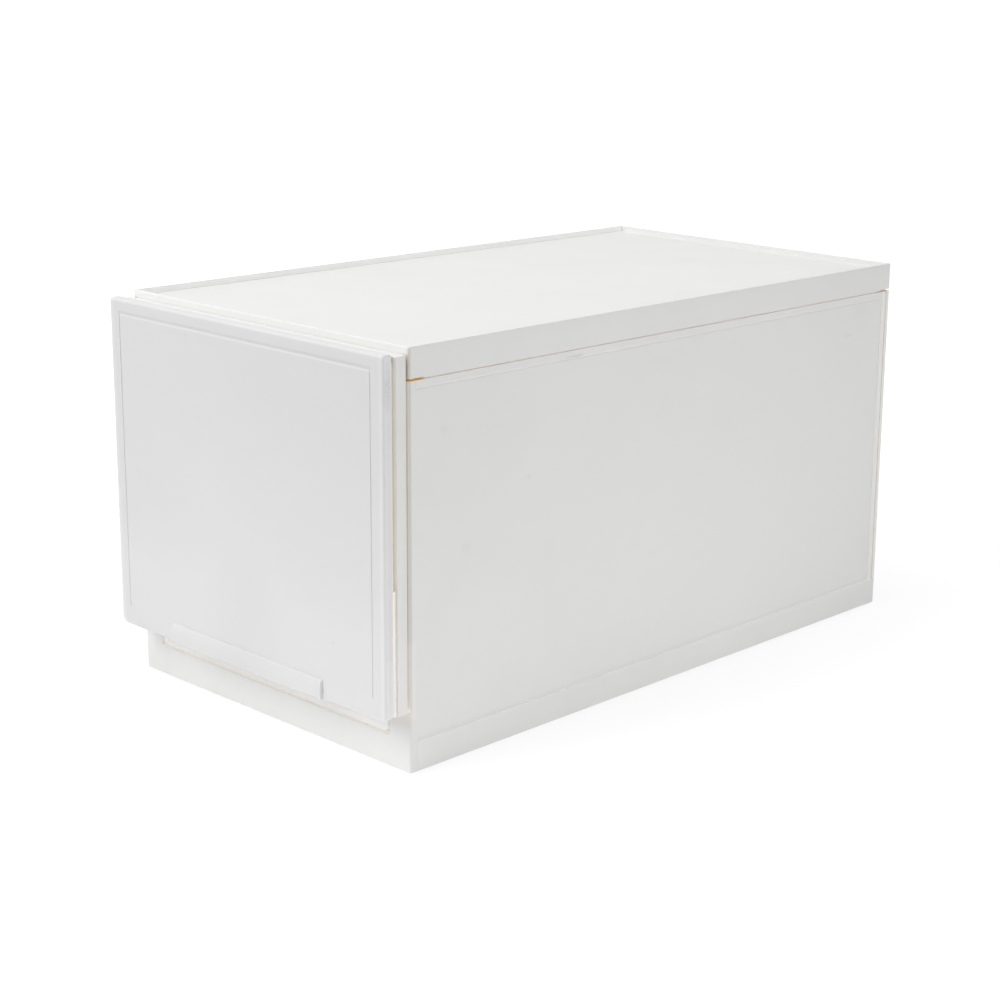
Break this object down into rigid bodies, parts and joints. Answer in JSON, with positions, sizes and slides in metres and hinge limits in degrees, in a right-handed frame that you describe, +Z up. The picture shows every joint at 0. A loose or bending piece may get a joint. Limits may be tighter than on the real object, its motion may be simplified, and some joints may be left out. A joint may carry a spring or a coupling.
{
  "type": "stackable drawer box",
  "caption": "Stackable plastic drawer box: a panelled case with a recessed top tray, a foot ring below and one sliding drawer with a finger lip.",
  "frame": {"origin": "on the floor, under the centre of the closed box's bounding box", "axes": "+Z up, -Y towards the drawer front, +Y towards the back, +X to the right as seen from the front"},
  "size_m": [0.266, 0.4972, 0.2615],
  "materials": {
    "case_plastic": "warm white moulded polypropylene, satin",
    "facing_plastic": "cool white moulded ABS, satin",
    "steel": "zinc plated steel screws"
  },
  "bodies": {
    "case": {"base_panel": "case_plastic", "side_panel_left": "case_plastic", "side_panel_right": "case_plastic", "back_panel": "case_plastic", "front_frame": "case_plastic", "lid": "case_plastic", "runner_left": "case_plastic", "runner_right": "case_plastic", "guide_rail_left": "case_plastic", "guide_rail_right": "case_plastic", "stop_block_left": "case_plastic", "stop_block_right": "case_plastic", "runner_screws_left": "steel", "runner_screws_right": "steel", "guide_screws_left": "steel", "guide_screws_right": "steel", "lid_pins_left": "case_plastic", "lid_pins_right": "case_plastic"},
    "drawer": {"drawer_tub": "case_plastic", "front_bezel": "case_plastic", "front_mounting_plate": "case_plastic", "front_facing": "facing_plastic", "facing_screws": "steel"}
  },
  "joints": [
    {"name": "drawer_slide", "type": "slide", "parent": "case", "child": "drawer", "axis": [0, -1, 0], "range_m": [0, 0.4]}
  ]
}
